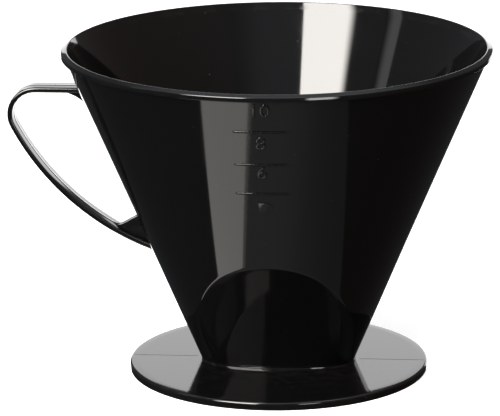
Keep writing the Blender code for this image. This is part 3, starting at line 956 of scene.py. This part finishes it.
def build_floor():
    """Pale floor; from below it lets the view through."""
    size = 6.0
    corners = [(-size, -size, 0), (size, -size, 0), (size, size, 0), (-size, size, 0)]
    mesh = bpy.data.meshes.new("floor")
    mesh.from_pydata(corners, [], [(0, 1, 2, 3)])
    material = bpy.data.materials.new("floor")
    material.use_nodes = True
    tree = material.node_tree
    n = Nodes(tree)
    shader = tree.nodes["Principled BSDF"]
    shader.inputs["Base Color"].default_value = (0.8, 0.8, 0.8, 1)
    shader.inputs["Roughness"].default_value = 1.0
    shader.inputs["Specular IOR Level"].default_value = 0.0
    shader.inputs["Emission Color"].default_value = (1, 1, 1, 1)
    shader.inputs["Emission Strength"].default_value = 0.75
    clear = n.node("ShaderNodeBsdfTransparent")
    back = n.node("ShaderNodeNewGeometry").outputs["Backfacing"]
    choose = n.node("ShaderNodeMixShader", Fac=back)
    tree.links.new(shader.outputs[0], choose.inputs[1])
    tree.links.new(clear.outputs[0], choose.inputs[2])
    tree.links.new(choose.outputs[0], tree.nodes["Material Output"].inputs["Surface"])
    mesh.materials.append(material)
    floor = bpy.data.objects.new("floor", mesh)
    bpy.context.scene.collection.objects.link(floor)
    floor.visible_glossy = False
    floor.visible_diffuse = False


def build_world():
    """White behind everything that the camera sees; in reflections a dim room with a paler ceiling."""
    world = bpy.data.worlds.new("studio")
    bpy.context.scene.world = world
    world.use_nodes = True
    tree = world.node_tree
    tree.nodes.clear()
    n = Nodes(tree)
    seen = n.node("ShaderNodeLightPath").outputs["Is Camera Ray"]
    white = n.node("ShaderNodeBackground", Color=(1, 1, 1, 1), Strength=1.0)
    heading = n.node("ShaderNodeSeparateXYZ", Vector=n.node("ShaderNodeTexCoord").outputs["Generated"])
    side = n.blend(n.band(heading.outputs["X"], 0.1, 0.8), COOL_ROOM, WARM_ROOM)
    level = n.band(heading.outputs["Z"], -0.3, 0.2, ROOM_BELOW, ROOM_ABOVE)
    level = n.maths("ADD", level, n.band(heading.outputs["Z"], 0.62, 0.85, 0.0, CEILING_EXTRA))
    dim = n.node("ShaderNodeBackground", Color=side, Strength=level)
    choose = n.node("ShaderNodeMixShader", Fac=seen)
    tree.links.new(dim.outputs[0], choose.inputs[1])
    tree.links.new(white.outputs[0], choose.inputs[2])
    output = n.node("ShaderNodeOutputWorld")
    tree.links.new(choose.outputs[0], output.inputs["Surface"])


def build_lights():
    """Reflected panels and softboxes of a product-photo set."""
    warm, neutral, cool = (1.0, 0.965, 0.92), (1.0, 1.0, 1.0), (0.94, 1.0, 1.07)

    # Behind the object
    back, seam_at = 1.6, 0.30
    wide = ((-0.60, back, -0.56), (seam_at, back, -0.56), (seam_at, back, 0.63), (-0.60, back, 0.63))
    wing = ((seam_at, back, -0.30), (0.80, back, -0.30), (0.80, back, 0.36), (seam_at, back, 0.36))
    card("backdrop", wide, neutral, 2.5, top_share=0.66)
    card("backdrop_wing", wing, neutral, 2.3)

    # Below the object: the grey band down the cone's left and the dim zone beside it
    low = -0.2
    card("low_band", ((-0.208, -0.30, low), (-0.026, -0.31, low), (-0.178, 0.0, low), (-0.190, 0.0, low)),
         warm, 2.2, soft_sides=(0.3, 0.02))
    card("low_dim", ((0.222, -0.26, low), (-0.045, -0.30, low), (-0.185, 0.01, low), (0.214, 0.01, low)),
         neutral, 0.26, soft_sides=(0.7, 0.0), side_share=0.45)

    # Softboxes round the front
    near, tall = 1.6, (8, 50)
    facing_card("key", (-47.5, -12.3), tall, near, warm, 22.0, soft_sides=(0.24, 0.02))
    facing_card("front_glow", (-12.2, 36), tall, 1.65, cool, 0.25, soft_sides=(0.0, 0.4), side_share=0.4)
    facing_card("side_fill", (-77.0, -66.5), (5, 45), near, neutral, 1.2, soft_sides=(0.0, 0.5))
    facing_card("strip_right", (18, 37), (-6, 16), 1.8, neutral, 9.0, soft_sides=(0.2, 0.3))

    # Above the object
    above, front, rear = 1.5, -0.62, -0.1
    card("overhead", ((-1.0, front, above), (1.0, front, above), (1.0, rear, above), (-1.0, rear, above)),
         neutral, 2.4)


def build_camera():
    """Long lens, a little right of the front and above the rim."""
    back = direction(CAMERA_AZIMUTH, CAMERA_ELEVATION)
    place = back * CAMERA_DISTANCE
    ahead = (CAMERA_AIM - place).normalized()
    right = ahead.cross(Vector((0, 0, 1))).normalized()
    up = right.cross(ahead)
    c, s = math.cos(CAMERA_ROLL), math.sin(CAMERA_ROLL)
    right, up = right * c + up * s, up * c - right * s
    data = bpy.data.cameras.new("camera")
    data.lens = CAMERA_LENS
    data.sensor_width = 36.0
    data.clip_start = 0.05
    data.clip_end = 50.0
    camera = bpy.data.objects.new("camera", data)
    basis = Matrix((right, up, -ahead)).transposed().to_4x4()
    camera.matrix_world = Matrix.Translation(place) @ basis
    bpy.context.scene.collection.objects.link(camera)
    bpy.context.scene.camera = camera


def main():
    body = plastic("body_black", roughness=0.045, scratches=1.0, dust=0.2, scuff=0.45)
    base = plastic("base_black", roughness=0.050, scratches=0.8, dust=0.25, scuff=0.6)
    grip = plastic("handle_black", roughness=0.060, scratches=0.8, dust=0.2, scuff=0.5)
    mark = plastic("mark_black", roughness=0.110, scratches=0.5, dust=0.2, scuff=0.4)
    build_wall(body)
    build_rim(body)
    build_drip_floor(body)
    build_ribs(body)
    build_base(base)
    build_collar(base)
    build_mug_ring(base)
    build_handle(grip)
    build_webs(grip)
    build_level_lines(mark)
    build_numerals(mark)
    build_symbol(mark)
    build_floor()
    build_world()
    build_lights()
    build_camera()
    bpy.context.scene.view_settings.view_transform = "Standard"


main()
